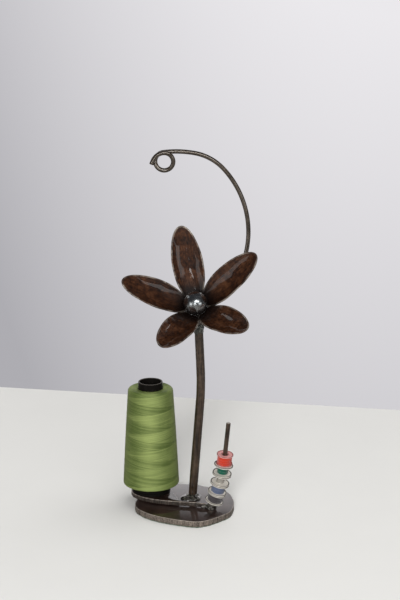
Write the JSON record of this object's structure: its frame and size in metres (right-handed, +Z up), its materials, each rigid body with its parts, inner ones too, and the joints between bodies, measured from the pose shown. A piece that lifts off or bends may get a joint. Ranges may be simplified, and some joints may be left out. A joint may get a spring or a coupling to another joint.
{
  "type": "thread rack",
  "caption": "Table-top thread rack: a steel flower on a leaning stem with a hooked thread guide, a leaf-shaped cone seat and a spike for bobbins.",
  "frame": {"origin": "on the underside of the felt pad, straight below the foot of the stem", "axes": "+Z up, -Y the side that the flower faces, +X to the right seen from the flower's side"},
  "size_m": [0.144, 0.1234, 0.3907],
  "materials": {
    "felt": "dark green felt",
    "base_steel": "dark brown patina under glossy clear lacquer, brown-grey cut edges",
    "leaf_steel": "dark brown patina under glossy clear lacquer",
    "bar_steel": "satin dark grey-brown steel, lacquered",
    "weld_steel": "rough dark weld metal, lacquered",
    "petal_steel": "mottled rust-brown patina under glossy clear lacquer",
    "ball_steel": "black chrome, polished",
    "core_plastic": "black, satin",
    "thread_cone": "olive green cross-wound thread",
    "clear_plastic": "clear moulded plastic",
    "pink_plastic": "clear plastic tinted pink",
    "thread_charcoal": "charcoal thread",
    "thread_blue": "slate blue thread",
    "thread_green": "deep green thread",
    "thread_red": "coral red thread"
  },
  "bodies": {
    "rack": {"felt_pad": "felt", "base_plate": "base_steel", "seat_spacer": "bar_steel", "cone_seat": "leaf_steel", "cone_pin": "bar_steel", "stem": "bar_steel", "stem_foot_weld": "weld_steel", "neck_weld": "weld_steel", "petal_top": "petal_steel", "petal_left": "petal_steel", "petal_lower_left": "petal_steel", "petal_lower_right": "petal_steel", "petal_right": "petal_steel", "flower_hub": "weld_steel", "flower_ball": "ball_steel", "thread_hook": "bar_steel", "hook_weld": "weld_steel", "bobbin_spike": "bar_steel", "spike_foot_weld": "weld_steel"},
    "cone": {"cone_core": "core_plastic", "cone_thread": "thread_cone"},
    "charcoal_bobbin": {"bobbin_charcoal": "clear_plastic", "thread_charcoal": "thread_charcoal"},
    "blue_bobbin": {"bobbin_blue": "clear_plastic", "thread_blue": "thread_blue"},
    "empty_bobbin": {"bobbin_empty": "clear_plastic"},
    "green_bobbin": {"bobbin_green": "clear_plastic", "thread_green": "thread_green"},
    "red_bobbin": {"bobbin_red": "pink_plastic", "thread_red": "thread_red"}
  },
  "joints": [
    {"name": "cone_lift", "type": "slide", "parent": "rack", "child": "cone", "axis": [0, 0, 1], "range_m": [0, 0.075]},
    {"name": "charcoal_bobbin_spin", "type": "hinge", "parent": "rack", "child": "charcoal_bobbin", "pos_m": [0.02507, -0.03377, 0.02204], "axis": [0.2808, -0.1319, 0.9507], "continuous": true},
    {"name": "blue_bobbin_spin", "type": "hinge", "parent": "rack", "child": "blue_bobbin", "pos_m": [0.02809, -0.0353, 0.03313], "axis": [0.24, -0.1334, 0.9616], "continuous": true},
    {"name": "empty_bobbin_spin", "type": "hinge", "parent": "rack", "child": "empty_bobbin", "pos_m": [0.03064, -0.03686, 0.04434], "axis": [0.1988, -0.1347, 0.9707], "continuous": true},
    {"name": "green_bobbin_spin", "type": "hinge", "parent": "rack", "child": "green_bobbin", "pos_m": [0.0327, -0.03843, 0.05564], "axis": [0.1573, -0.1357, 0.9782], "continuous": true},
    {"name": "red_bobbin_lift", "type": "slide", "parent": "rack", "child": "red_bobbin", "axis": [0.0889, -0.1369, 0.9866], "range_m": [0, 0.05]}
  ]
}
